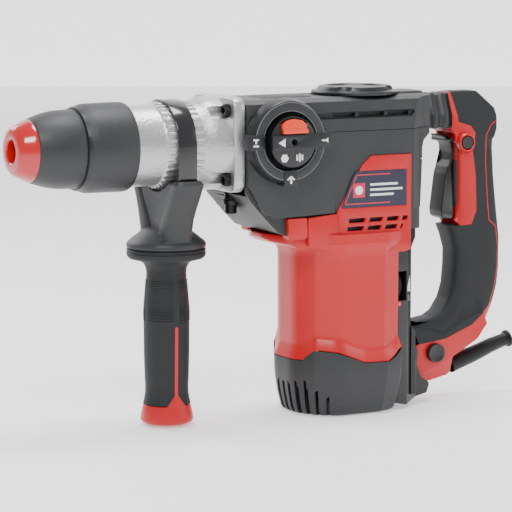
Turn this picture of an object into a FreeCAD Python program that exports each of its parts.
import FreeCAD, Part
import math
import os

import Sketcher

# Rotary hammer with an SDS-max chuck, millimetres, +Z up. The origin is the middle of the flat foot
# under the upright motor. The tool axis runs along X at axis_height and the bit points to -X.

SIZES = {
    # overall
    "axis_height": 225,
    "run_fit": 0.05,
    "gap": 0.4,
    # chuck, stations along X and radii about the tool axis
    "cap_front": -288, "cap_rear": -273, "cap_bore": 9.6, "cap_face_radius": 18.5,
    "cap_rear_radius": 24.5,
    "bit_radius": 9.05, "bit_depth": 95, "bit_relief": 0.6,
    "holder_front": -284, "holder_nose_radius": 16, "holder_step": -262, "holder_radius": 20,
    "holder_shoulder": -203, "holder_rear_radius": 22, "holder_rear": -128,
    "sleeve_joint": -235.5, "front_sleeve_radius": 25, "front_sleeve_mid": -253,
    "front_sleeve_mid_radius": 30.5, "front_sleeve_end_radius": 31.2, "front_sleeve_wall": 3.2,
    "sleeve_front_radius": 32.5, "sleeve_grip_start": -228, "sleeve_radius": 35.4,
    "sleeve_rear": -193, "sleeve_travel": 11, "sleeve_wall": 2.6, "sleeve_web": 4,
    "cam_front": -251, "cam_radius": 26.4, "cam_slope": 0.2, "cam_rear": -228,
    "jaw_front": -239, "jaw_rear": -229, "jaw_width": 10, "jaw_tip": 8,
    "spring_wire": 1.2, "spring_radius": 23, "spring_turns": 3, "spring_wire_sides": 8,
    # cast aluminium nose
    "nose_front": -200, "nose_radius": 32, "nose_bore": 27.5, "rack_front": -169, "rack_rear": -136,
    "rack_radius": 34, "rack_teeth": 36, "rack_tooth_height": 1, "dome_rear": -125,
    "dome_radius": 37.5, "dome_end": -113, "flange_rear": -103, "flange_half": 38,
    "flange_corner": 12, "screw_offset": 27.5, "screw_radius": 3, "screw_head_radius": 5.2,
    "screw_head": 5, "screw_length": 14, "bearing_front": -186, "bearing_rear": -168,
    # gear housing and its cover
    "housing_half": 42, "housing_rear": 64, "housing_bottom": 150, "housing_wall": 4, "rear_wall": 8,
    "chin_shoulder": 185, "chin_low_x": -84, "chin_low_z": 164,
    "chin_toe_x": -74, "chin_toe_z": 154, "split": 233, "neck_front": 50, "neck_rear": 72,
    "neck_half": 30, "neck_bottom": 228, "neck_step": 217, "cover_top": 260,
    "cover_shoulder": 249, "cover_lean": 257, "cover_lean_half": 37,
    "cover_crown_half": 26, "wing_depth": 3, "inner_half": 35, "bridge_bottom": 172,
    "bridge_top": 184, "floor_top": 154, "shaft_window": 11,
    "grease_x": 18, "grease_radius": 36, "grease_step": 263, "grease_disc_radius": 30,
    "grease_top": 267, "chin_bolt_x": -97, "chin_bolt_bottom": 167, "chin_bolt_radius": 5,
    # mode selector
    "dial_x": -71, "dial_z": 228, "bezel_radius": 33, "bezel_rise": 11, "dial_radius": 20.3,
    "dial_rise": 5, "dial_shaft": 8, "dial_shaft_end": 26, "rib_width": 11.8, "rib_height": 3.5,
    "tab_width": 11.8, "tab_reach": 36, "lock_width": 22, "lock_rise": 12, "lock_proud": 2.5,
    "lock_travel": 2.5, "lock_sunk": 2.8,
    # hammer mechanism
    "cylinder_front": -142, "cylinder_rear": -20, "cylinder_bore": 15, "cylinder_radius": 18,
    "vent_x": -88, "vent_radius": 1.5,
    "bolt_front": -186, "bolt_collar_front": -150, "bolt_collar_rear": -140, "bolt_rear": -124,
    "bolt_stem": 8.6, "collar_step": 2.1, "bolt_tail": 7.5, "striker_front": -106,
    "striker_body": -98, "striker_rear": -80, "striker_nose": 7, "crank_offset": 30,
    "crank_throw": 14, "rod_length": 60, "rod_thickness": 10, "big_eye": 11, "small_eye": 7.5,
    "rod_half_width": 4.5, "crank_pin": 6, "wrist_pin": 4, "wrist_pin_half": 12,
    "piston_ahead": 24, "piston_behind": 12, "crank_shaft": 9, "crank_disc": 22,
    "crank_disc_bottom": 198, "crank_disc_top": 214, "pin_clearance": 0.5,
    "crank_bearing_radius": 16,
    # gears
    "gear_module": 1, "pinion_teeth": 10, "crank_teeth": 50, "relay_teeth": 54,
    "relay_offset": 32, "gear_bottom": 158, "gear_top": 168, "addendum": 0.8, "dedendum": 1.15,
    "root_share": 0.36, "tooth_share": 0.21, "tip_share": 0.09, "shaft_bottom": 156, "relay_shaft": 7,
    "bevel_teeth": 12, "ring_teeth": 40, "ring_radius": 27, "bevel_face": 6.5,
    "ring_back": 4, "bevel_back": 3,
    # motor
    "motor_radius": 46, "motor_wall": 4, "motor_seam": 50, "motor_web_bottom": 138,
    "lip_bottom": 143, "lip_front": -64, "lip_inset": 2, "rotor_shaft": 5, "rotor_bottom": 13,
    "pinion_bottom": 156, "core_radius": 23.5, "core_bottom": 55, "core_top": 105,
    "core_slots": 12, "slot_width": 2.4, "slot_depth": 9, "winding_radius": 20,
    "winding_height": 11, "commutator_radius": 13, "commutator_bottom": 26,
    "commutator_top": 41, "fan_bottom": 121, "fan_top": 132, "fan_radius": 36, "fan_blades": 11,
    "fan_hub": 12, "fan_disc": 2, "stator_bore": 24.5, "stator_radius": 38, "stator_bottom": 52,
    "stator_top": 108, "coil_bottom": 44, "coil_top": 116, "coil_inner": 27, "coil_outer": 35,
    "bearing_outer": 13, "low_bearing_bottom": 14, "low_bearing_top": 22,
    "high_bearing_bottom": 139, "high_bearing_top": 148, "brush_half": 4, "brush_z": 33.5,
    "brush_length": 12, "holder_wall": 1.5, "brush_holder_out": 34,
    # side panels of the motor housing
    "wing_bottom": 140, "wing_top": 212, "wing_front_low": -18, "wing_front_mid": -21,
    "wing_mid_z": 168, "wing_front_high": 3, "wing_rear": 47, "wing_proud": 0.8,
    "vent_left": -12, "vent_right": 43, "vent_low": 152.5, "vent_high": 159.5,
    "vent_slot_height": 3.4, "vent_bar": 3, "vents_per_row": 4,
    "label_low": 171.5, "label_high": 200, "label_left_low": -17, "label_left_high": -5,
    "label_right": 42, "label_thickness": 0.5,
    # foot and rear covers
    "foot_radius": 46.8, "foot_low_radius": 43.5, "foot_taper_top": 36, "foot_wall": 3.5,
    "foot_edge": 3, "foot_vents": 9, "foot_vent_width": 3.2, "foot_vent_low": 7,
    "foot_vent_top": 24, "foot_vent_step": 11, "rear_cover_front": 38, "rear_cover_rear": 50,
    "rear_cover_half": 30, "rear_cover_bottom": 6, "rear_cover_top": 149,
    "wheel_x": 43, "wheel_z": 102.5, "wheel_radius": 12.5, "wheel_width": 5,
    "wheel_shows": 2.5,
    # rear handle, a closed D that rocks on a pin at its foot
    "bellows_rear": 95, "bellows_fold": 4, "bellows_wall": 2, "bellows_bottom": 228.5,
    "handle_half": 17, "frame_half": 16, "handle_top": 260, "handle_rear": 150,
    "pivot_x": 87.4, "pivot_z": 41, "pivot_radius": 5, "pivot_cap_radius": 8, "pivot_out": 20.5,
    "ear_half": 12, "ear_radius": 12, "grip_front": 108.5, "grip_seam": 126,
    "trigger_half": 10, "trigger_pin_x": 103, "trigger_pin_z": 219, "trigger_pin_radius": 2,
    "lock_on_x": 115.5, "lock_on_z": 217, "lock_on_radius": 5.5, "lock_on_out": 21,
    "lock_on_ring": 8, "switch_half": 8,
    "cord_hole": 4.4,
    # side handle
    "strap_front": -161, "strap_rear": -145, "strap_outer": 36.4, "grip_x": -155,
    "saddle_half": 14, "saddle_arm": 30, "saddle_top": 199,
    "saddle_floor": 178, "guard_top": 150, "guard_bottom": 136, "guard_radius": 32,
    "neck_radius": 16, "neck_z": 125, "grip_radius": 18.3, "grip_waist": 17.6,
    "grip_bottom": 17, "grip_cap_top_radius": 19, "grip_cap_radius": 21.4, "grip_cap_low": 4,
    "strap_bolt": 4,
}

doc = FreeCAD.newDocument("RotaryHammer")
sheet = doc.addObject("Spreadsheet::Sheet", "Sizes")
for row, (alias, value) in enumerate(SIZES.items(), start=1):
    sheet.set(f"A{row}", alias)
    sheet.set(f"B{row}", str(value))
    sheet.setAlias(f"B{row}", alias)
doc.recompute()


class Size:
    """A number together with the sheet expression that gives it."""

    def __init__(self, value, text):
        self.value = float(value)
        self.text = text

    def __add__(self, other):
        other = sized(other)
        return Size(self.value + other.value, f"({self.text} + {other.text})")

    def __sub__(self, other):
        other = sized(other)
        return Size(self.value - other.value, f"({self.text} - {other.text})")

    def __mul__(self, other):
        other = sized(other)
        return Size(self.value * other.value, f"({self.text} * {other.text})")

    def __truediv__(self, other):
        other = sized(other)
        return Size(self.value / other.value, f"({self.text} / {other.text})")

    def __radd__(self, other):
        return sized(other) + self

    def __rsub__(self, other):
        return sized(other) - self

    def __rmul__(self, other):
        return sized(other) * self

    def __neg__(self):
        return Size(-self.value, f"(0 - {self.text})")


def sized(number):
    return number if isinstance(number, Size) else Size(number, repr(float(number)))


class Sheet:
    """Reads the sheet: S.axis_height is the cell of that alias."""

    def __getattr__(self, alias):
        return Size(getattr(sheet, alias), f"Sizes.{alias}")


S = Sheet()
AXIS = S.axis_height
ZERO = sized(0)
nodes = []


def bind(thing, prop, size):
    """Ties one property of an object to the sheet."""
    size = sized(size)
    thing.setExpression(prop, size.text)


def place(thing, x=0, y=0, z=0):
    for letter, size in (("x", x), ("y", y), ("z", z)):
        bind(thing, f"Placement.Base.{letter}", size)
    return thing


def node(label, thing):
    """Names a finished sub-part; its label is its file's name."""
    thing.Label = label
    nodes.append(thing)
    return thing


def fill_sketch(sketch, outlines):
    """Draws closed outlines of straight edges, each corner held by two driven distances."""
    for outline in outlines:
        first = sketch.GeometryCount
        count = len(outline)
        corners = [(sized(u), sized(v)) for u, v in outline]
        for i, (u, v) in enumerate(corners):
            u2, v2 = corners[(i + 1) % count]
            start = FreeCAD.Vector(u.value, v.value, 0)
            end = FreeCAD.Vector(u2.value, v2.value, 0)
            sketch.addGeometry(Part.LineSegment(start, end), False)
        for i in range(count):
            after = first + (i + 1) % count
            sketch.addConstraint(Sketcher.Constraint("Coincident", first + i, 2, after, 1))
        for i, corner in enumerate(corners):
            for kind, size in zip(("DistanceX", "DistanceY"), corner):
                rule = Sketcher.Constraint(kind, -1, 1, first + i, 1, size.value)
                index = sketch.addConstraint(rule)
                sketch.setExpression(f"Constraints[{index}]", size.text)


PLANES = {
    "XY": FreeCAD.Rotation(),
    "XZ": FreeCAD.Rotation(FreeCAD.Vector(1, 0, 0), 90),
    "YZ": FreeCAD.Rotation(FreeCAD.Vector(1, 1, 1), 120),
}


def prism(plane, outline, low, high):
    """A straight-sided block: an outline in a plane, between two stations along its normal."""
    sketch = doc.addObject("Sketcher::SketchObject", "Outline")
    sketch.Placement = FreeCAD.Placement(FreeCAD.Vector(), PLANES[plane])
    fill_sketch(sketch, [outline])
    low, high = sized(low), sized(high)
    base = {"XY": ("z", low), "XZ": ("y", high), "YZ": ("x", low)}[plane]
    bind(sketch, f"Placement.Base.{base[0]}", base[1])
    block = doc.addObject("Part::Extrusion", "Block")
    block.Base = sketch
    block.DirMode = "Normal"
    block.Solid = True
    bind(block, "LengthFwd", high - low)
    return block


def revolved(axis, profile, x=0, y=0, z=0):
    """A turned piece: (station, radius) pairs about X, or (radius, station) about Z or Y."""
    body = doc.addObject("PartDesign::Body", "Turned")
    sketch = body.newObject("Sketcher::SketchObject", "Profile")
    role = "XY_Plane" if axis == "Y" else "XZ_Plane"
    plane = [part for part in body.Origin.OriginFeatures if part.Role == role][0]
    sketch.AttachmentSupport = [(plane, "")]
    sketch.MapMode = "FlatFace"
    fill_sketch(sketch, [profile])
    turn = body.newObject("PartDesign::Revolution", "Turn")
    turn.Profile = sketch
    turn.ReferenceAxis = (sketch, ["H_Axis" if axis == "X" else "V_Axis"])
    turn.Angle = 360
    return place(body, x, y, z)


def box(x0, x1, y0, y1, z0, z1):
    x0, x1, y0, y1, z0, z1 = (sized(v) for v in (x0, x1, y0, y1, z0, z1))
    block = doc.addObject("Part::Box", "Box")
    bind(block, "Length", x1 - x0)
    bind(block, "Width", y1 - y0)
    bind(block, "Height", z1 - z0)
    return place(block, x0, y0, z0)


AXES = {
    "X": FreeCAD.Rotation(FreeCAD.Vector(0, 1, 0), 90),
    "Y": FreeCAD.Rotation(FreeCAD.Vector(1, 0, 0), -90),
    "Z": FreeCAD.Rotation(),
}


def rod(axis, radius, low, high, x=0, y=0, z=0):
    """A cylinder along an axis between two stations; x, y, z place its centre line."""
    low, high = sized(low), sized(high)
    cylinder = doc.addObject("Part::Cylinder", "Rod")
    cylinder.Placement = FreeCAD.Placement(FreeCAD.Vector(), AXES[axis])
    bind(cylinder, "Radius", radius)
    bind(cylinder, "Height", high - low)
    start = {"X": (low, y, z), "Y": (x, low, z), "Z": (x, y, low)}[axis]
    return place(cylinder, *start)


def fuse(*parts):
    if len(parts) == 1:
        return parts[0]
    joined = doc.addObject("Part::MultiFuse", "Joined")
    joined.Shapes = list(parts)
    joined.Refine = True
    return joined


def cut(base, *tools):
    rest = doc.addObject("Part::Cut", "Cut")
    rest.Base = base
    rest.Tool = fuse(*tools)
    rest.Refine = True
    return rest


def common(*parts):
    shared = doc.addObject("Part::MultiCommon", "Shared")
    shared.Shapes = list(parts)
    shared.Refine = True
    return shared


def mirrored(part, normal):
    """A mirror image across a plane through the origin."""
    image = doc.addObject("Part::Mirroring", "Mirrored")
    image.Source = part
    image.Normal = normal
    return image


def turned_about_axis(part, degrees):
    """A copy turned about the tool axis."""
    copy = doc.addObject("Part::Feature", "Copy")
    doc.recompute()
    centre = FreeCAD.Vector(0, 0, AXIS.value)
    shape = part.Shape.copy()
    shape.rotate(centre, FreeCAD.Vector(1, 0, 0), degrees)
    copy.Shape = shape
    return copy


def cylinder_ring(axis, outer, inner, low, high, x=0, y=0, z=0):
    """A plain ring: a turned body with a through bore."""
    if axis == "X":
        profile = [(low, inner), (high, inner), (high, outer), (low, outer)]
    else:
        profile = [(inner, low), (outer, low), (outer, high), (inner, high)]
    return revolved(axis, profile, x, y, z)


# ---------------------------------------------------------------- gears

def gear_outline(teeth, module, stretch=1.0):
    """Corner points of a toothed wheel about the origin; stretch makes the teeth taller."""
    pitch = module * teeth / 2
    root = pitch - S.dedendum.value * module * stretch
    tip = pitch + S.addendum.value * module * stretch
    step = 2 * math.pi / teeth
    stations = ((root, S.root_share.value), (pitch, S.tooth_share.value), (tip, S.tip_share.value))
    points = []
    for tooth in range(teeth):
        middle = tooth * step
        for radius, share in stations:
            points.append((radius, middle - share * step))
        for radius, share in reversed(stations):
            points.append((radius, middle + share * step))
    return [FreeCAD.Vector(r * math.cos(a), r * math.sin(a), 0) for r, a in points]


def gear_wheel(teeth, bore, low, high, x, phase):
    """A spur gear about a vertical shaft, tooth 0 turned to the phase angle."""
    corners = gear_outline(teeth, S.gear_module.value)
    face = Part.Face(Part.makePolygon(corners + corners[:1]))
    solid = face.extrude(FreeCAD.Vector(0, 0, high.value - low.value))
    if bore is not None:
        solid = solid.cut(Part.makeCylinder(bore.value, high.value - low.value))
    wheel = doc.addObject("Part::Feature", "Gear")
    wheel.Shape = solid
    turn = FreeCAD.Rotation(FreeCAD.Vector(0, 0, 1), phase)
    wheel.Placement = FreeCAD.Placement(FreeCAD.Vector(x.value, 0, low.value), turn)
    return wheel


def bevel_wheel(teeth, other_teeth, back, bore, rim=None):
    """A bevel gear with its apex at the origin and its axis along +Z, large end lowest.

    Its teeth are straight lines to the apex. A rim trims a wide wheel to that radius.
    """
    pitch = S.ring_radius.value * teeth / S.ring_teeth.value
    depth = S.ring_radius.value * other_teeth / S.ring_teeth.value
    slant = math.hypot(pitch, depth)
    stretch = slant / depth
    corners = gear_outline(teeth, 2 * pitch / teeth, stretch)
    root = min(math.hypot(corner.x, corner.y) for corner in corners)
    large = rim / root if rim else 1.0
    small = 1 - S.bevel_face.value / slant

    def ring(scale):
        loop = [FreeCAD.Vector(p.x * scale, p.y * scale, -depth * scale) for p in corners]
        return Part.makePolygon(loop + loop[:1])

    solid = Part.makeLoft([ring(large), ring(small)], True, True)
    base = FreeCAD.Vector(0, 0, -depth * large - back.value)
    if rim:
        solid = solid.common(Part.makeCylinder(rim, 2 * depth + back.value, base))
    plate = Part.makeCylinder(rim or root, back.value, base)
    solid = solid.fuse(plate).removeSplitter()
    if bore is not None:
        solid = solid.cut(Part.makeCylinder(bore.value, 2 * depth + back.value, base))
    return solid


def feature(shape, placement):
    piece = doc.addObject("Part::Feature", "Shaped")
    piece.Shape = shape
    piece.Placement = placement
    return piece


# ---------------------------------------------------------------- chuck

def bolt_collar():
    return S.cylinder_bore - S.collar_step


def make_dust_cap():
    face = S.cap_front
    node("dust_cap", revolved("X", [
        (face, S.cap_bore), (face, S.cap_face_radius), (face + 1.5, S.cap_face_radius + 1),
        (S.cap_rear, S.cap_rear_radius), (S.cap_rear, S.holder_nose_radius + S.run_fit),
        (S.holder_front, S.holder_nose_radius + S.run_fit), (S.holder_front, S.cap_bore),
    ], z=AXIS))


def make_tool_holder():
    bore = S.bit_radius
    guide = S.bolt_stem + S.run_fit
    seat = S.holder_front + S.bit_depth
    profile = [
        (S.holder_front, bore), (S.holder_front, S.holder_nose_radius),
        (S.holder_step, S.holder_nose_radius), (S.holder_step, S.holder_radius),
        (S.holder_shoulder, S.holder_radius), (S.holder_shoulder, S.holder_rear_radius),
        (S.holder_rear, S.holder_rear_radius), (S.holder_rear, S.cylinder_radius),
        (S.cylinder_front, S.cylinder_radius), (S.cylinder_front, bolt_collar() + S.run_fit),
        (S.bolt_collar_front - 5, bolt_collar() + S.run_fit), (S.bolt_collar_front - 5, guide),
        (seat, guide), (seat, bore + S.bit_relief), (S.jaw_front - 1, bore + S.bit_relief),
        (S.jaw_front - 1, bore),
    ]
    barrel = revolved("X", profile, z=AXIS)
    half = S.jaw_width / 2 + S.gap
    slot = box(S.jaw_front - S.gap, S.jaw_rear + S.gap, -half, half,
               AXIS - S.holder_radius - 1, AXIS + S.holder_radius + 1)
    node("tool_holder", cut(barrel, slot))


def make_front_sleeve():
    inner = S.front_sleeve_mid_radius - S.front_sleeve_wall
    node("chuck_front_sleeve", revolved("X", [
        (S.cap_rear, S.holder_nose_radius), (S.cap_rear, S.front_sleeve_radius),
        (S.front_sleeve_mid, S.front_sleeve_mid_radius),
        (S.sleeve_joint - S.gap, S.front_sleeve_end_radius),
        (S.sleeve_joint - S.gap, inner), (S.cam_front - 1, inner),
        (S.cam_front - 1, S.holder_radius), (S.holder_step, S.holder_radius),
        (S.holder_step, S.holder_nose_radius),
    ], z=AXIS))


def make_locking_sleeve():
    guide = S.holder_radius + S.run_fit
    flare = guide + S.cam_slope * (S.cam_rear - S.cam_front)
    web = S.cam_rear + S.sleeve_web
    inner = S.sleeve_radius - S.sleeve_wall
    node("locking_sleeve", revolved("X", [
        (S.cam_front, flare), (S.cam_front, S.cam_radius), (S.sleeve_joint, S.cam_radius),
        (S.sleeve_joint, S.sleeve_front_radius), (S.sleeve_grip_start, S.sleeve_radius - 0.4),
        (S.sleeve_rear, S.sleeve_radius), (S.sleeve_rear, inner),
        (S.nose_front - S.sleeve_travel - 2, inner), (S.nose_front - S.sleeve_travel - 2, S.cam_radius),
        (web, S.cam_radius), (web, guide), (S.cam_rear, guide),
    ], z=AXIS))


def make_sleeve_spring():
    """A coil spring behind the sleeve's web, its wire drawn with flats."""
    start = S.cam_rear.value + S.sleeve_web.value + S.spring_wire.value
    end = S.holder_shoulder.value - S.spring_wire.value
    pitch = (end - start) / S.spring_turns.value
    radius = S.spring_radius.value
    wire = S.spring_wire.value
    sides = SIZES["spring_wire_sides"]
    corners = []
    for i in range(sides):
        angle = 2 * math.pi * i / sides
        corners.append(FreeCAD.Vector(radius + wire * math.cos(angle), 0, wire * math.sin(angle)))
    section = Part.makePolygon(corners + corners[:1])
    coil = Part.Wire(Part.makeHelix(pitch, end - start, radius))
    solid = coil.makePipeShell([section], True, True)
    spot = FreeCAD.Placement(FreeCAD.Vector(start, 0, AXIS.value), AXES["X"])
    node("sleeve_spring", feature(solid, spot))


def make_jaws():
    """Two locking jaws in the holder's windows, their backs slanted like the sleeve's cam."""
    half = S.jaw_width / 2
    guide = S.holder_radius - S.gap
    front = guide + S.cam_slope * (S.cam_rear - S.jaw_front)
    rear = guide + S.cam_slope * (S.cam_rear - S.jaw_rear)
    cone = revolved("X", [
        (S.jaw_front, ZERO), (S.jaw_front, front), (S.jaw_rear, rear), (S.jaw_rear, ZERO),
    ], z=AXIS)
    high = box(S.jaw_front, S.jaw_rear, -half, half, AXIS + S.jaw_tip, AXIS + S.cam_radius)
    low = box(S.jaw_front, S.jaw_rear, -half, half, AXIS - S.cam_radius, AXIS - S.jaw_tip)
    node("locking_jaw_upper", common(cone, high))
    node("locking_jaw_lower", common(cone, low))


# ---------------------------------------------------------------- nose casting

def make_nose():
    bore = S.nose_bore
    seat = S.bearing_rear
    turned = revolved("X", [
        (S.nose_front, S.holder_rear_radius + 0.6), (S.nose_front, S.nose_radius),
        (S.rack_front, S.nose_radius), (S.rack_front, S.rack_radius - S.rack_tooth_height),
        (S.rack_rear, S.rack_radius - S.rack_tooth_height), (S.rack_rear, S.rack_radius),
        (S.dome_rear, S.dome_radius), (S.dome_end, S.dome_radius),
        (S.dome_end, S.holder_rear_radius + 4), (seat, S.holder_rear_radius + 4), (seat, bore),
        (S.bearing_front, bore), (S.bearing_front, S.holder_rear_radius + 0.6),
    ], z=AXIS)
    corner = S.flange_half - S.flange_corner
    outline = [(a * S.flange_half, b * corner) if flat else (a * corner, b * S.flange_half)
               for a, b, flat in ((1, -1, True), (1, 1, True), (1, 1, False), (-1, 1, False),
                                  (-1, 1, True), (-1, -1, True), (-1, -1, False), (1, -1, False))]
    outline = [(u, AXIS + v) for u, v in outline]
    plate = prism("YZ", outline, S.dome_end, S.flange_rear)
    plate_bore = rod("X", S.holder_rear_radius + 4, S.dome_end - 1, S.flange_rear + 1, z=AXIS)
    step = 360.0 / SIZES["rack_teeth"]
    depth = S.rack_tooth_height
    tooth = box(S.rack_front, S.rack_rear, -depth, depth,
                AXIS + S.rack_radius - 2 * depth, AXIS + S.rack_radius)
    teeth = [turned_about_axis(tooth, i * step) for i in range(SIZES["rack_teeth"])]
    holes = []
    for dy, dz in screw_spots():
        holes.append(rod("X", S.screw_radius + 0.4, S.dome_end - 1, S.flange_rear + 1, y=dy, z=dz))
        holes.append(rod("X", S.screw_head_radius + 0.8, S.dome_rear, S.dome_end, y=dy, z=dz))
    node("gearbox_nose", cut(fuse(turned, plate, *teeth), plate_bore, *holes))


def screw_spots():
    return [(a * S.screw_offset, AXIS + b * S.screw_offset) for a in (-1, 1) for b in (-1, 1)]


def make_flange_screws():
    pieces = []
    for dy, dz in screw_spots():
        pieces.append(revolved("X", [
            (S.dome_end - S.screw_head, 2.6), (S.dome_end - S.screw_head, S.screw_head_radius),
            (S.dome_end, S.screw_head_radius), (S.dome_end, S.screw_radius),
            (S.dome_end + S.screw_length, S.screw_radius), (S.dome_end + S.screw_length, ZERO),
            (S.dome_end - 2, ZERO), (S.dome_end - 2, 2.6),
        ], y=dy, z=dz))
    screws = doc.addObject("Part::Compound", "Screws")
    screws.Links = pieces
    node("flange_screws", screws)


def make_spindle_bearing():
    node("spindle_bearing", cylinder_ring(
        "X", S.nose_bore, S.holder_rear_radius + S.run_fit, S.bearing_front, S.bearing_rear, z=AXIS))


# ---------------------------------------------------------------- hammer mechanism

def make_cylinder():
    tube = cylinder_ring("X", S.cylinder_radius, S.cylinder_bore + S.run_fit,
                         S.cylinder_front, S.cylinder_rear, z=AXIS)
    vent = rod("Y", S.vent_radius, -S.cylinder_radius - 1, S.cylinder_radius + 1,
               x=S.vent_x, z=AXIS)
    node("hammer_cylinder", cut(tube, vent))


def make_impact_bolt():
    node("impact_bolt", revolved("X", [
        (S.bolt_front, ZERO), (S.bolt_front, S.bolt_stem - 2), (S.bolt_front + 2, S.bolt_stem),
        (S.bolt_collar_front - 3, S.bolt_stem), (S.bolt_collar_front, bolt_collar()),
        (S.bolt_collar_rear, bolt_collar()), (S.bolt_collar_rear, S.bolt_tail),
        (S.bolt_rear, S.bolt_tail), (S.bolt_rear, ZERO),
    ], z=AXIS))


def make_striker():
    node("striker", revolved("X", [
        (S.striker_front, ZERO), (S.striker_front, S.striker_nose), (S.striker_body, S.striker_nose),
        (S.striker_body, S.cylinder_bore), (S.striker_rear, S.cylinder_bore),
        (S.striker_rear, ZERO),
    ], z=AXIS))


def wrist_x():
    return S.crank_offset + S.crank_throw - S.rod_length


def make_piston():
    front = wrist_x() - S.piston_ahead
    rear = wrist_x() + S.piston_behind
    slug = rod("X", S.cylinder_bore, front, rear, z=AXIS)
    half = S.rod_thickness / 2 + S.gap
    slot = box(wrist_x() - S.small_eye - 1.5, rear + 1, -S.cylinder_bore, S.cylinder_bore,
               AXIS - half, AXIS + half)
    hole = rod("Z", S.wrist_pin, AXIS - S.cylinder_bore, AXIS + S.cylinder_bore, x=wrist_x())
    node("piston", cut(slug, slot, hole))
    node("wrist_pin", rod("Z", S.wrist_pin, AXIS - S.wrist_pin_half, AXIS + S.wrist_pin_half,
                          x=wrist_x()))


def make_connecting_rod():
    low = AXIS - S.rod_thickness / 2
    high = AXIS + S.rod_thickness / 2
    pin_x = S.crank_offset + S.crank_throw
    shank = box(wrist_x(), pin_x, -S.rod_half_width, S.rod_half_width, low, high)
    big = rod("Z", S.big_eye, low, high, x=pin_x)
    small = rod("Z", S.small_eye, low, high, x=wrist_x())
    big_hole = rod("Z", S.crank_pin + S.run_fit, low - 1, high + 1, x=pin_x)
    small_hole = rod("Z", S.wrist_pin + S.run_fit, low - 1, high + 1, x=wrist_x())
    node("connecting_rod", cut(fuse(shank, big, small), big_hole, small_hole))


def make_crank():
    x = S.crank_offset
    shaft = rod("Z", S.crank_shaft, S.shaft_bottom, S.crank_disc_bottom, x=x)
    disc = rod("Z", S.crank_disc, S.crank_disc_bottom, S.crank_disc_top, x=x)
    pin_top = AXIS - S.rod_thickness / 2 - S.pin_clearance
    pin = rod("Z", S.crank_pin, S.crank_disc_top, pin_top, x=x + S.crank_throw)
    pocket = box(x + 2, x + S.crank_disc, S.crank_pin + 3, S.crank_disc,
                 S.crank_disc_bottom + 4, S.crank_disc_top + 1)
    node("crank_shaft", cut(fuse(shaft, disc, pin), pocket, mirrored(pocket, FreeCAD.Vector(0, 1, 0))))
    node("crank_gear", gear_wheel(SIZES["crank_teeth"], S.crank_shaft, S.gear_bottom, S.gear_top,
                                  x, meshing_phase("crank_teeth", 180)))
    node("crank_bearing", cylinder_ring(
        "Z", S.crank_bearing_radius, S.crank_shaft + S.run_fit, S.bridge_bottom, S.bridge_top, x=x))


def make_relay_shaft():
    """Upright shaft that carries the drive to the cylinder, with its wheel and bevel pinion."""
    x = -S.relay_offset
    node("relay_gear", gear_wheel(SIZES["relay_teeth"], S.relay_shaft, S.gear_bottom, S.gear_top,
                                  x, meshing_phase("relay_teeth", 0)))
    depth = S.ring_radius
    stem_top = AXIS - depth - S.bevel_back
    stem = rod("Z", S.relay_shaft, S.shaft_bottom, stem_top, x=x)
    pinion = bevel_wheel(SIZES["bevel_teeth"], SIZES["ring_teeth"], S.bevel_back, None)
    spot = FreeCAD.Placement(FreeCAD.Vector(x.value, 0, AXIS.value), FreeCAD.Rotation())
    node("relay_shaft", fuse(stem, feature(pinion, spot)))
    ring = bevel_wheel(SIZES["ring_teeth"], SIZES["bevel_teeth"], S.ring_back, S.cylinder_radius,
                       rim=S.ring_radius.value + S.addendum.value)
    half_tooth = 180.0 / SIZES["ring_teeth"]
    turn = AXES["X"].multiply(FreeCAD.Rotation(FreeCAD.Vector(0, 0, 1), half_tooth))
    node("bevel_ring_gear", feature(ring, FreeCAD.Placement(
        FreeCAD.Vector(x.value, 0, AXIS.value), turn)))


def meshing_phase(teeth, facing):
    """Turn that sets a gap of a wheel against the pinion, in the direction that faces it."""
    return facing + 180.0 / SIZES[teeth]


# ---------------------------------------------------------------- motor

def make_rotor():
    shaft = rod("Z", S.rotor_shaft, S.rotor_bottom, S.pinion_bottom)
    pinion = gear_wheel(SIZES["pinion_teeth"], None, S.pinion_bottom, S.gear_top + 1, ZERO, 0)
    node("armature_shaft", fuse(shaft, pinion))
    core = cylinder_ring("Z", S.core_radius, S.rotor_shaft, S.core_bottom, S.core_top)
    slots = []
    half = S.slot_width / 2
    for i in range(SIZES["core_slots"]):
        slot = box(S.core_radius - S.slot_depth, S.core_radius + 1, -half, half,
                   S.core_bottom - 1, S.core_top + 1)
        slot.Placement = FreeCAD.Placement(FreeCAD.Vector(), FreeCAD.Rotation())
        slots.append(spun(slot, i * 360.0 / SIZES["core_slots"]))
    node("armature_core", cut(core, *slots))
    low = cylinder_ring("Z", S.winding_radius, S.rotor_shaft, S.core_bottom - S.winding_height,
                        S.core_bottom)
    high = cylinder_ring("Z", S.winding_radius, S.rotor_shaft, S.core_top,
                         S.core_top + S.winding_height)
    windings = doc.addObject("Part::Compound", "Windings")
    windings.Links = [low, high]
    node("armature_windings", windings)
    node("commutator", cylinder_ring("Z", S.commutator_radius, S.rotor_shaft, S.commutator_bottom,
                                     S.commutator_top))
    hub = cylinder_ring("Z", S.fan_hub, S.rotor_shaft, S.fan_bottom, S.fan_top)
    disc = cylinder_ring("Z", S.fan_radius, S.rotor_shaft, S.fan_top - S.fan_disc, S.fan_top)
    blade = box(S.fan_hub - 1, S.fan_radius, -0.9, 0.9, S.fan_bottom, S.fan_top)
    blades = [spun(blade, i * 360.0 / SIZES["fan_blades"]) for i in range(SIZES["fan_blades"])]
    node("cooling_fan", fuse(hub, disc, *blades))


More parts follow.
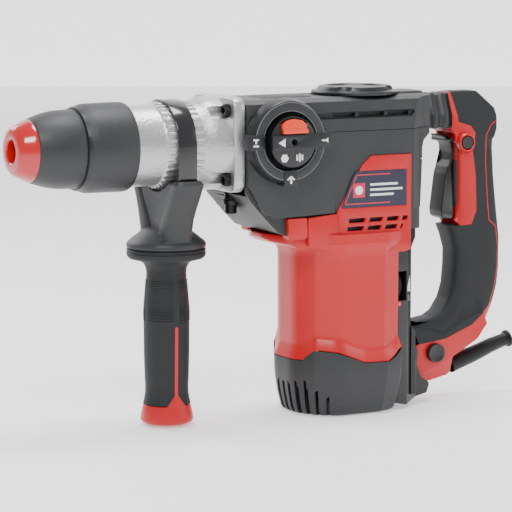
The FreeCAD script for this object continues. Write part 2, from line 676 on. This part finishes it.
def spun(part, degrees):
    """A copy turned about the motor's axis."""
    doc.recompute()
    copy = doc.addObject("Part::Feature", "Copy")
    shape = part.Shape.copy()
    shape.rotate(FreeCAD.Vector(), FreeCAD.Vector(0, 0, 1), degrees)
    copy.Shape = shape
    return copy


def make_stator():
    node("stator_core", cylinder_ring("Z", S.stator_radius, S.stator_bore, S.stator_bottom,
                                      S.stator_top))
    low = cylinder_ring("Z", S.coil_outer, S.coil_inner, S.coil_bottom, S.stator_bottom)
    high = cylinder_ring("Z", S.coil_outer, S.coil_inner, S.stator_top, S.coil_top)
    coils = doc.addObject("Part::Compound", "Coils")
    coils.Links = [low, high]
    node("field_coils", coils)
    node("motor_bearing_upper", cylinder_ring("Z", S.bearing_outer, S.rotor_shaft + S.run_fit,
                                              S.high_bearing_bottom, S.high_bearing_top))
    node("motor_bearing_lower", cylinder_ring("Z", S.bearing_outer, S.rotor_shaft + S.run_fit,
                                              S.low_bearing_bottom, S.low_bearing_top))


def make_brushes():
    half = S.brush_half
    wall = S.holder_wall
    inner = S.commutator_radius + S.gap
    outer = inner + S.brush_length
    low = S.brush_z - half
    high = S.brush_z + half
    brush = box(-half, half, inner, outer, low, high)
    tube = box(-half - wall, half + wall, inner + 2, S.brush_holder_out, low - wall, high + wall)
    hollow = box(-half, half, inner, S.brush_holder_out - wall, low, high)
    holder = cut(tube, hollow)
    node("carbon_brush_left", brush)
    node("brush_holder_left", holder)
    across = FreeCAD.Vector(0, 1, 0)
    node("carbon_brush_right", mirrored(brush, across))
    node("brush_holder_right", mirrored(holder, across))


# ---------------------------------------------------------------- housings

def housing_outline():
    return [
        (S.flange_rear, S.split), (S.flange_rear, S.chin_shoulder), (S.chin_low_x, S.chin_low_z),
        (S.chin_toe_x, S.chin_toe_z), (S.lip_front, S.housing_bottom),
        (S.housing_rear - 4, S.housing_bottom), (S.housing_rear, S.neck_step - 10),
        (S.housing_rear, S.neck_step), (S.neck_rear, S.neck_bottom), (S.neck_rear, S.split),
    ]


def plan_outline(half, neck_half, front, rear):
    return [(front, -half), (S.neck_front, -half), (rear, -neck_half), (rear, neck_half),
            (S.neck_front, half), (front, half)]


def wing_outline(grow):
    return [
        (S.wing_front_low - grow, S.wing_bottom), (S.wing_front_mid - grow, S.wing_mid_z),
        (S.wing_front_high - grow, S.wing_top - 8), (S.wing_front_high + 8, S.wing_top + grow),
        (S.wing_rear + grow, S.wing_top + grow), (S.wing_rear + grow, S.wing_bottom),
    ]


def make_gear_housing():
    side = prism("XZ", housing_outline(), -S.housing_half, S.housing_half)
    plan = prism("XY", plan_outline(S.housing_half, S.neck_half, S.flange_rear, S.neck_rear),
                 S.housing_bottom - 1, S.split + 1)
    shell = common(side, plan)
    wall = S.housing_wall
    upper_room = box(S.flange_rear - 1, S.housing_rear - wall, -S.inner_half, S.inner_half,
                     S.bridge_top, S.split + 1)
    lower_room = box(S.chin_toe_x + wall, S.housing_rear - S.rear_wall, -S.inner_half, S.inner_half,
                     S.floor_top, S.bridge_bottom)
    crank_hole = rod("Z", S.crank_bearing_radius, S.bridge_bottom - 1, S.bridge_top + 1,
                     x=S.crank_offset)
    relay_hole = rod("Z", S.relay_shaft + S.run_fit, S.bridge_bottom - 1, S.bridge_top + 1,
                     x=-S.relay_offset)
    pinion_hole = rod("Z", S.shaft_window, S.housing_bottom - 1, S.floor_top + 1)
    pocket = prism("XZ", wing_outline(ZERO), S.housing_half - S.wing_depth, S.housing_half + 1)
    dial_hole = rod("Y", S.dial_shaft + S.gap, -S.housing_half - 1, -S.inner_half + 1,
                    x=S.dial_x, z=S.dial_z)
    holes = [rod("X", S.screw_radius, S.flange_rear - 1, S.dome_end + S.screw_length,
                 y=dy, z=dz) for dy, dz in screw_spots()]
    bolt_hole = rod("Z", S.chin_bolt_radius, S.chin_bolt_bottom, S.chin_shoulder,
                    x=S.chin_bolt_x)
    mirror = mirrored(pocket, FreeCAD.Vector(0, 1, 0))
    node("gear_housing", cut(shell, upper_room, lower_room, crank_hole, relay_hole, pinion_hole,
                             pocket, mirror, dial_hole, bolt_hole, *holes))


def make_top_cover():
    half = S.housing_half
    lean = S.cover_lean_half
    section = [
        (-half, S.split), (half, S.split), (half, S.cover_shoulder), (lean, S.cover_lean),
        (S.cover_crown_half, S.cover_top), (-S.cover_crown_half, S.cover_top),
        (-lean, S.cover_lean), (-half, S.cover_shoulder),
    ]
    along = prism("YZ", section, S.flange_rear, S.neck_rear)
    plan = prism("XY", plan_outline(half, S.neck_half, S.flange_rear, S.neck_rear),
                 S.split - 1, S.cover_top + 1)
    shell = common(along, plan)
    room = box(S.flange_rear - 1, S.housing_rear - S.housing_wall, -S.inner_half + 5,
               S.inner_half - 5, S.split - 1, S.cover_top - S.housing_wall - 2)
    dial_hole = rod("Y", S.dial_shaft + S.gap, -S.housing_half - 1, -S.inner_half + 6,
                    x=S.dial_x, z=S.dial_z)
    seat = rod("Z", S.grease_radius - 6, S.cover_top - 2, S.cover_top + 1, x=S.grease_x)
    holes = [rod("X", S.screw_radius, S.flange_rear - 1, S.dome_end + S.screw_length,
                 y=dy, z=dz) for dy, dz in screw_spots()]
    node("top_cover", cut(shell, room, dial_hole, seat, *holes))
    node("grease_cap", revolved("Z", [
        (ZERO, S.cover_top - 2), (S.grease_radius - 6, S.cover_top - 2),
        (S.grease_radius - 6, S.cover_top), (S.grease_radius, S.cover_top),
        (S.grease_radius, S.grease_step), (S.grease_disc_radius, S.grease_step),
        (S.grease_disc_radius - 1, S.grease_top), (ZERO, S.grease_top),
    ], x=S.grease_x))


def bezel_out():
    return S.housing_half + S.bezel_rise


def dial_out():
    return bezel_out() + S.dial_rise


def lock_out():
    return dial_out() + S.lock_proud


def lock_back():
    return dial_out() - S.lock_sunk


def make_mode_selector():
    x, z = S.dial_x, S.dial_z
    out, back = -bezel_out(), -S.housing_half
    ring = revolved("Y", [
        (S.dial_shaft + S.gap, back), (S.bezel_radius, back), (S.bezel_radius - 1.5, out + 4),
        (S.bezel_radius - 4, out), (S.dial_radius + S.gap, out),
        (S.dial_radius + S.gap, out + 4), (S.dial_shaft + S.gap, out + 4),
    ], x=x, z=z)
    half = S.tab_width / 2
    tab_out = out + 3
    left = box(x - S.tab_reach, x - S.bezel_radius + 2, tab_out, back, z - half, z + half)
    right = box(x + S.bezel_radius - 2, x + S.tab_reach, tab_out, back, z - half, z + half)
    low = box(x - half, x + half, tab_out, back, z - S.tab_reach, z - S.bezel_radius + 2)
    node("mode_bezel", fuse(ring, left, right, low))
    rib_half = S.rib_width / 2
    knob = revolved("Y", [
        (ZERO, -dial_out()), (S.dial_radius - 1, -dial_out()), (S.dial_radius, -dial_out() + 1),
        (S.dial_radius, out + 4 - S.gap), (S.dial_shaft, out + 4 - S.gap),
        (S.dial_shaft, -S.dial_shaft_end), (ZERO, -S.dial_shaft_end),
    ], x=x, z=z)
    rib = box(x - S.dial_radius + 1.5, x + S.dial_radius - 1.5, -dial_out() - S.rib_height,
              -dial_out(), z - rib_half, z + rib_half)
    finger = rod("Y", 2.5, -S.dial_shaft_end, -S.dial_shaft_end + 5, x=x + 4, z=z)
    gap = S.gap
    lock_half = S.lock_width / 2
    low_z = z + rib_half + 1
    pocket = box(x - lock_half - gap, x + lock_half + gap, -dial_out() - 1,
                 -lock_back() + S.lock_travel + gap, low_z - gap, low_z + S.lock_rise)
    node("mode_dial", cut(fuse(knob, rib, finger), pocket))
    blank = box(x - lock_half, x + lock_half, -lock_out(), -lock_back(),
                low_z, low_z + S.lock_rise)
    limit = rod("Y", S.dial_radius - 2, -lock_out() - 1, -lock_back() + 1, x=x, z=z)
    node("mode_lock_button", common(blank, limit))


def make_motor_housing():
    outer, wall = S.motor_radius, S.motor_wall
    tube = revolved("Z", [
        (outer - wall, S.motor_seam), (outer, S.motor_seam), (outer, S.lip_bottom),
        (S.bearing_outer, S.lip_bottom + 5), (S.bearing_outer, S.motor_web_bottom + 1),
        (S.rotor_shaft + 2, S.motor_web_bottom + 1), (S.rotor_shaft + 2, S.motor_web_bottom),
        (outer - wall, S.motor_web_bottom),
    ])
    lip_half = S.housing_half - S.lip_inset
    lip = box(S.lip_front, S.housing_rear - 5, -lip_half, lip_half, S.lip_bottom,
              S.housing_bottom)
    well = rod("Z", S.bearing_outer, S.lip_bottom - 1, S.housing_bottom + 1)
    inside = S.housing_half - S.wing_depth
    wing = prism("XZ", wing_outline(ZERO), inside, S.housing_half + S.wing_proud)
    bars = []
    span = S.vent_right - S.vent_left
    pitch = span / S.vents_per_row
    for low in (S.vent_low, S.vent_high):
        for i in range(SIZES["vents_per_row"]):
            start = S.vent_left + pitch * i
            bars.append(box(start, start + pitch - S.vent_bar, inside - 1, S.housing_half + 2,
                            low, low + S.vent_slot_height))
    panel = cut(wing, *bars)
    other = mirrored(panel, FreeCAD.Vector(0, 1, 0))
    node("motor_housing", cut(fuse(cut(fuse(tube, lip), well), panel, other), rear_cover_room()))


def rear_cover_room():
    return box(S.rear_cover_front, S.housing_rear + 20, -S.rear_cover_half, S.rear_cover_half,
               S.rear_cover_bottom, S.rear_cover_top)


def make_label_plate():
    face = S.housing_half + S.wing_proud
    node("label_plate", prism("XZ", [
        (S.label_left_low, S.label_low), (S.label_right, S.label_low),
        (S.label_right, S.label_high), (S.label_left_high, S.label_high),
    ], -face - S.label_thickness, -face))


def make_foot_cap():
    wall, edge = S.foot_wall, S.foot_edge
    cup = revolved("Z", [
        (ZERO, ZERO), (S.foot_low_radius - edge, ZERO), (S.foot_low_radius, edge),
        (S.foot_radius, S.foot_taper_top), (S.foot_radius, S.motor_seam),
        (S.motor_radius - S.motor_wall, S.motor_seam),
        (S.motor_radius - S.motor_wall, S.foot_taper_top), (S.foot_low_radius - wall, wall * 3),
        (S.bearing_outer + 3, wall * 3), (S.bearing_outer + 3, S.low_bearing_top),
        (S.bearing_outer, S.low_bearing_top), (S.bearing_outer, S.low_bearing_bottom),
        (ZERO, S.low_bearing_bottom - 2),
    ])
    slots = []
    half = S.foot_vent_width / 2
    slot = box(-S.foot_radius - 1, -S.foot_low_radius + wall + 1, -half, half,
               S.foot_vent_low + 5, S.foot_vent_top)
    for i in range(SIZES["foot_vents"]):
        slots.append(spun(slot, (i - 1) * SIZES["foot_vent_step"]))
    node("foot_cap", cut(cup, rear_cover_room(), *slots))


def make_rear_cover():
    front, rear = S.rear_cover_front, S.rear_cover_rear
    half = S.rear_cover_half
    side = [
        (front, S.rear_cover_bottom), (S.pivot_x - 8, S.rear_cover_bottom + 10),
        (S.pivot_x + 4, S.pivot_z - 8), (S.pivot_x + 4, S.pivot_z + 8),
        (S.pivot_x - 8, S.pivot_z + 12), (rear + 8, S.pivot_z + 24), (rear, S.pivot_z + 36),
        (rear, S.lip_bottom - 8), (S.housing_rear - 9, S.lip_bottom),
        (S.housing_rear - 9, S.rear_cover_top), (front, S.rear_cover_top),
    ]
    spine = prism("XZ", side, -half, half)
    # past the motor it narrows to the two ears that carry the handle's pin
    trim = S.ear_half
    left = box(rear + 10, S.pivot_x + 20, trim, half + 1, -1, S.lip_bottom - 30)
    right = mirrored(left, FreeCAD.Vector(0, 1, 0))
    pin_hole = rod("Y", S.pivot_radius + S.run_fit, -half - 1, half + 1, x=S.pivot_x, z=S.pivot_z)
    barrel = rod("Z", S.motor_radius - S.motor_wall, -1, S.motor_web_bottom)
    wheel_slot = rod("X", S.wheel_radius + 1, S.wheel_x - S.wheel_width / 2 - S.gap,
                     S.wheel_x + S.wheel_width / 2 + S.gap, y=wheel_y(), z=S.wheel_z)
    node("rear_cover", cut(spine, left, right, pin_hole, barrel, wheel_slot))


def make_speed_wheel():
    x = S.wheel_x
    node("speed_wheel", rod("X", S.wheel_radius, x - S.wheel_width / 2, x + S.wheel_width / 2,
                            y=wheel_y(), z=S.wheel_z))


def wheel_y():
    """The wheel's centre, set in from the cover's side so that only its rim shows."""
    return S.wheel_radius - S.rear_cover_half - S.wheel_shows


def make_chin_bolt():
    top, bottom = S.chin_shoulder, S.chin_bolt_bottom
    node("chin_bolt", revolved("Z", [
        (ZERO, bottom), (S.chin_bolt_radius, bottom), (S.chin_bolt_radius, top - 2), (ZERO, top - 2),
    ], x=S.chin_bolt_x))


# ---------------------------------------------------------------- rear handle

def make_bellows():
    """Rubber folds between the housing's neck and the rocking handle, hollow along X."""
    front, rear = S.neck_rear, S.bellows_rear
    half, low, high = S.neck_half, S.bellows_bottom, S.cover_top
    count = 3
    pitch = (rear - front) / count

    def section(inset):
        inner = S.neck_half - 5 - inset
        return [(-half + inset, low + inset), (half - inset, low + inset),
                (half - inset, high - 11), (inner, high - 1 - inset),
                (-inner, high - 1 - inset), (-half + inset, high - 11)]

    folds = [prism("YZ", section(S.bellows_fold), front, rear)]
    for i in range(count):
        start = front + pitch * i
        folds.append(prism("YZ", section(ZERO), start + 1, start + pitch - 1.5))
    bore = prism("YZ", section(S.bellows_fold + S.bellows_wall), front - 1, rear + 1)
    node("bellows", cut(fuse(*folds), bore))


def handle_red_upper():
    rear, grip, seam = S.bellows_rear, S.grip_front, S.grip_seam
    top = S.handle_top
    return [
        (rear, top - 1), (rear, S.bellows_bottom), (grip - 4, S.trigger_pin_z + 5),
        (grip - 1, S.trigger_pin_z - 6), (grip, S.trigger_pin_z - 54),
        (grip - 0.5, S.trigger_pin_z - 67), (grip + 3.5, S.trigger_pin_z - 72),
        (seam - 3, S.trigger_pin_z - 71.5), (seam + 2, S.trigger_pin_z - 60),
        (seam + 1, S.trigger_pin_z - 31), (seam - 2, S.trigger_pin_z - 10),
        (seam, S.trigger_pin_z + 5), (seam - 4.5, S.trigger_pin_z + 11.5),
        (rear + 14, S.trigger_pin_z + 15), (rear + 10, top - 1),
    ]


def lower_seam():
    """The line, from front to rear, where the soft grip meets the red foot of the handle."""
    x, z = S.pivot_x, S.pivot_z
    return [(x - 15, z + 8), (x + 11, z + 11), (x + 37, z + 21), (x + 47, z + 29), (x + 60, z + 42)]


def handle_red_lower():
    x, z = S.pivot_x, S.pivot_z
    under = [(x - 20, z - 27), (x + 15, z - 21), (x + 18.5, z - 17), (x + 18.5, z - 5),
             (x + 43, z + 8), (x + 54, z + 22)]
    front = [(x - 22, z + 5), (x - 22, z - 6), (x - 19, z - 19)]
    return under + list(reversed(lower_seam())) + front


def handle_black():
    x, z, rear = S.pivot_x, S.pivot_z, S.handle_rear
    grip, seam, top = S.grip_front, S.grip_seam, S.handle_top
    inner = [(x - 22, z + 24), (x - 10, z + 27), (x + 3, z + 29), (x + 10, z + 32),
             (grip - 4, z + 44), (grip - 0.5, z + 56), (grip + 0.5, z + 86), (grip - 3.5, z + 98),
             (grip - 7.5, z + 106), (grip + 3.5, S.trigger_pin_z - 72)]
    border = handle_red_upper()[7:]
    back = [(seam + 5, top), (rear - 4, top - 15), (rear - 2, top - 28), (rear - 5, top - 40),
            (rear - 3, top - 73), (rear, top - 107), (rear + 5, top - 128),
            (rear + 4, top - 150), (rear + 2, z + 49)]
    return inner + border + back + list(reversed(lower_seam()))


def make_handle():
    x, z = S.pivot_x, S.pivot_z
    half = S.frame_half
    upper = prism("XZ", handle_red_upper(), -half, half)
    lower = prism("XZ", handle_red_lower(), -half, half)
    grip = S.grip_front
    core = prism("XZ", [
        (grip + 6, S.trigger_pin_z - 66), (grip + 18, S.trigger_pin_z - 66),
        (grip + 30, z + 89), (grip + 30, z + 64), (x + 43, z + 30), (x + 31, z + 16),
        (x + 22, z + 18), (x + 33, z + 45), (grip + 14, z + 80),
    ], -half / 2, half / 2)
    trigger_slot = box(S.bellows_rear + 1, S.grip_front + 9, -S.trigger_half - 0.5,
                       S.trigger_half + 0.5, S.trigger_pin_z - 70, S.trigger_pin_z + 6)
    ear = S.ear_half + S.gap
    ear_room = box(x - 30, x + S.ear_radius, -ear, ear, -1, z + 26)
    pin = rod("Y", S.pivot_radius, -half - 6, half + 6, x=x, z=z)
    hinge_pin = rod("Y", S.trigger_pin_radius + S.run_fit, -half + 1, half - 1,
                    x=S.trigger_pin_x, z=S.trigger_pin_z)
    switch_room = switch_block(ZERO)
    lock_hole = rod("Y", S.lock_on_radius + S.gap, -half - 6, -S.trigger_half + 3,
                    x=S.lock_on_x, z=S.lock_on_z)
    boss = rod("Y", S.lock_on_ring, -S.lock_on_out, -half + 1, x=S.lock_on_x, z=S.lock_on_z)
    cord_room = boot_solid(S.cord_hole + 2.6, S.cord_hole + 2.6)
    frame = cut(fuse(upper, lower, core, boss), trigger_slot, ear_room, pin, hinge_pin,
                switch_room, lock_hole, cord_room)
    node("handle_frame", frame)
    black = prism("XZ", handle_black(), -S.handle_half, S.handle_half)
    node("handle_overmould", cut(black, frame, switch_block(ZERO), ear_room))
    node("switch_module", switch_block(ZERO))
    node("handle_pivot_pin", revolved("Y", [
        (ZERO, -S.pivot_out), (S.pivot_cap_radius, -S.pivot_out), (S.pivot_cap_radius, -half),
        (S.pivot_radius, -half), (S.pivot_radius, half), (S.pivot_cap_radius, half),
        (S.pivot_cap_radius, S.pivot_out), (ZERO, S.pivot_out),
    ], x=x, z=z))
    node("lock_on_button", rod("Y", S.lock_on_radius, -S.lock_on_out, -S.trigger_half - 1.5,
                               x=S.lock_on_x, z=S.lock_on_z))


def switch_block(grow):
    start = S.grip_front + 9
    return box(start, start + 13, -S.switch_half - grow, S.switch_half + grow,
               S.trigger_pin_z - 58, S.trigger_pin_z - 18)


def make_trigger():
    x, z, grip = S.trigger_pin_x, S.trigger_pin_z, S.grip_front
    blade = prism("XZ", [
        (x - 14, z + 3.5), (x - 6, z - 9), (x - 8, z - 15), (x - 11, z - 20), (x - 15.5, z - 49),
        (x - 17, z - 62), (x - 15, z - 66), (x - 12, z - 67), (grip - 0.5, z - 67),
        (grip + 0.5, z - 54), (grip, z - 22), (grip, z - 6), (x + 3, z + 3.5), (x - 2, z + 4.5),
    ], -S.trigger_half, S.trigger_half)
    reach = S.frame_half - 1.5
    trunnion = rod("Y", S.trigger_pin_radius, -reach, reach, x=x, z=z)
    node("trigger", fuse(blade, trunnion))


def boot_solid(root_radius, tip_radius, collar=0.0, reach=1.0):
    """The cord's strain relief: a tapering sleeve that leaves the handle's heel and rises."""
    x, z = S.pivot_x.value, S.pivot_z.value
    route = [(x + 10, z - 13), (x + 33, z - 11.5), (x + 56, z - 5), (x + 75, z + 1.5),
             (x + 82, z + 4)]
    root_radius, tip_radius = float(sized(root_radius).value), float(sized(tip_radius).value)
    rings = []
    for i, (u, v) in enumerate(route):
        before = route[max(i - 1, 0)]
        after = route[min(i + 1, len(route) - 1)]
        along = FreeCAD.Vector(after[0] - before[0], 0, after[1] - before[1])
        share = i / (len(route) - 1)
        radius = root_radius + (tip_radius - root_radius) * share
        ring = Part.Circle(FreeCAD.Vector(u, 0, v), along, radius)
        rings.append(Part.Wire(ring.toShape()))
    solid = Part.makeLoft(rings, True)
    if collar:
        end = FreeCAD.Vector(route[-1][0], 0, route[-1][1])
        back = FreeCAD.Vector(route[-2][0], 0, route[-2][1])
        along = (end - back).normalize()
        solid = solid.fuse(Part.makeCylinder(collar, 3, end - along * 3, along)).removeSplitter()
    return feature(solid, FreeCAD.Placement())


def make_cord_boot():
    outer = boot_solid(S.cord_hole + 2.6, S.cord_hole + 1.2, collar=S.cord_hole.value + 3.2)
    hole = boot_solid(S.cord_hole, S.cord_hole)
    node("cord_boot", cut(outer, hole))


# ---------------------------------------------------------------- side handle

def make_side_handle():
    x = S.grip_x
    inner = S.rack_radius + S.run_fit
    band = cylinder_ring("X", S.strap_outer, inner, S.strap_front, S.strap_rear, z=AXIS)
    node("strap_band", band)
    half = S.saddle_half
    arm = S.saddle_arm
    block = prism("YZ", [
        (-arm, S.saddle_top), (-arm, S.saddle_floor - 6), (-S.neck_radius - 2, S.guard_top),
        (S.neck_radius + 2, S.guard_top), (arm, S.saddle_floor - 6), (arm, S.saddle_top),
    ], x - half, x + half)
    split = (S.guard_top + S.guard_bottom) / 2
    disc = rod("Z", S.guard_radius, split + S.gap / 2, S.guard_top, x=x)
    cradle = rod("X", S.strap_outer, x - half - 1, x + half + 1, z=AXIS)
    bolt_hole = rod("Z", S.strap_bolt, split - 1, S.saddle_top, x=x)
    node("handle_saddle", cut(fuse(block, disc), cradle, bolt_hole))
    bolt_top = AXIS - S.strap_outer
    bolt = rod("Z", S.strap_bolt, split - 45, bolt_top + 1, x=x)
    node("strap_bolt", cut(bolt, rod("X", S.strap_outer, x - half, x + half, z=AXIS)))
    gap = S.gap / 2
    node("side_grip", revolved("Z", [
        (S.strap_bolt + S.run_fit, split - gap), (S.guard_radius, split - gap),
        (S.guard_radius, S.guard_bottom), (S.neck_radius + 2, S.guard_bottom - 3),
        (S.neck_radius, S.neck_z), (S.grip_radius, S.neck_z - 12), (S.grip_radius, S.neck_z - 75),
        (S.grip_waist, S.grip_bottom), (ZERO, S.grip_bottom), (ZERO, split - 46),
        (S.strap_bolt + S.run_fit, split - 46),
    ], x=x))
    node("grip_end_cap", revolved("Z", [
        (ZERO, S.grip_bottom), (S.grip_cap_top_radius, S.grip_bottom),
        (S.grip_cap_radius, S.grip_cap_low), (S.grip_cap_radius - 3, S.grip_cap_low - 3),
        (ZERO, S.grip_cap_low - 3),
    ], x=x))


# ---------------------------------------------------------------- main

for build in (make_dust_cap, make_tool_holder, make_front_sleeve, make_locking_sleeve,
              make_sleeve_spring, make_jaws, make_nose, make_flange_screws, make_spindle_bearing,
              make_cylinder, make_impact_bolt, make_striker, make_piston, make_connecting_rod,
              make_crank, make_relay_shaft, make_rotor, make_stator, make_brushes,
              make_gear_housing, make_top_cover, make_mode_selector, make_motor_housing,
              make_label_plate, make_foot_cap, make_rear_cover, make_speed_wheel,
              make_chin_bolt, make_bellows, make_handle, make_trigger, make_cord_boot,
              make_side_handle):
    build()
doc.recompute()

for thing in doc.Objects:
    bad = {"Invalid", "Error"} & set(thing.State)
    if bad:
        raise RuntimeError(f"{thing.Name} {thing.Label}: {thing.State}")
for part in nodes:
    if part.Shape.isNull() or not part.Shape.isValid():
        raise RuntimeError(f"{part.Label} has no valid shape")

os.makedirs("parts", exist_ok=True)
for part in nodes:
    part.Shape.exportStep(f"parts/{part.Label}.step")
print(len(nodes), "sub-parts")
